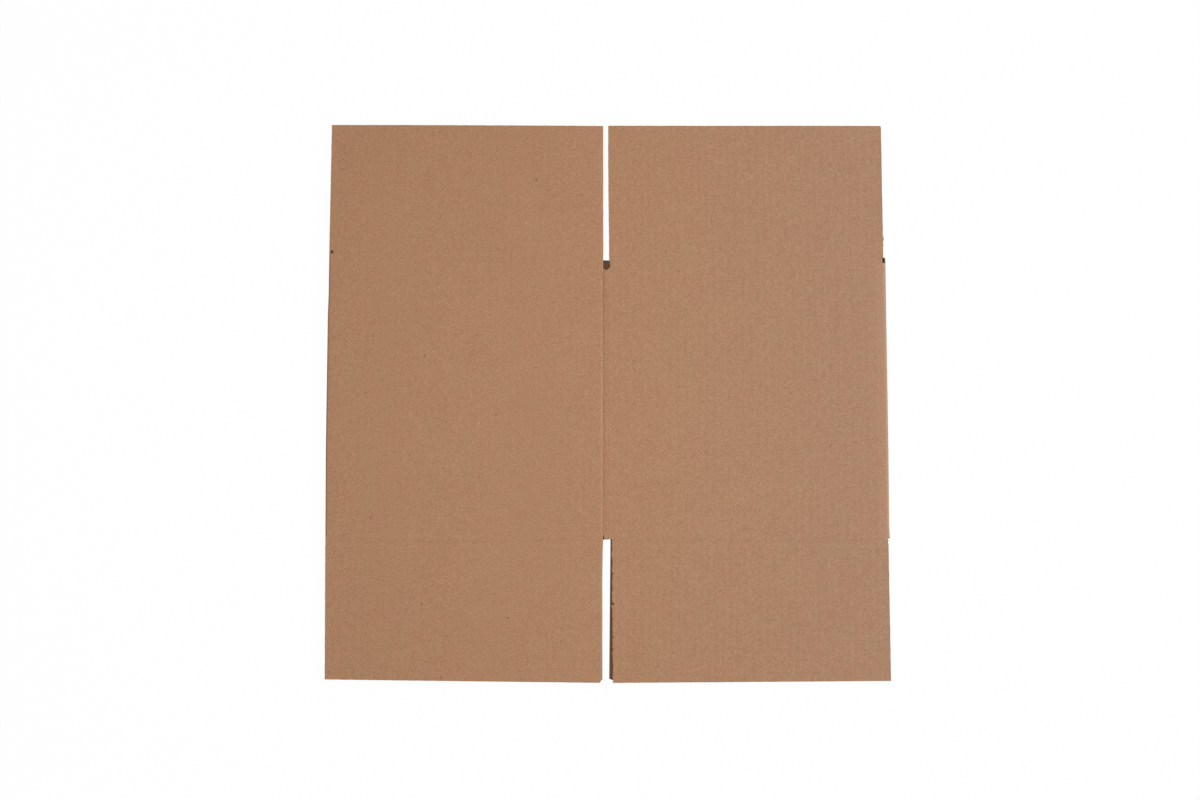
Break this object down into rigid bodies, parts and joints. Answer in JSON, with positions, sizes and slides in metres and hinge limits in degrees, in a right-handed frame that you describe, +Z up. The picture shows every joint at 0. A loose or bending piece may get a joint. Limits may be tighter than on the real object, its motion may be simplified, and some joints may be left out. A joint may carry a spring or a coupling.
{
  "type": "flattened cardboard box",
  "caption": "Regular slotted box of plain brown corrugated board, folded flat on its glued side seam with its flaps laid out straight, ready to be squared up and filled.",
  "frame": {"origin": "middle of the underside, on the floor, half way between the two folds and between the flap ends", "axes": "+X from the left fold to the right fold, +Y along the flutes towards the upper flaps, +Z up from the back layer to the seam side"},
  "size_m": [0.506, 0.5044, 0.0098],
  "materials": {
    "kraft_board": "matte unprinted kraft paper"
  },
  "bodies": {
    "root": {"folded_blank": "kraft_board"}
  },
  "joints": []
}
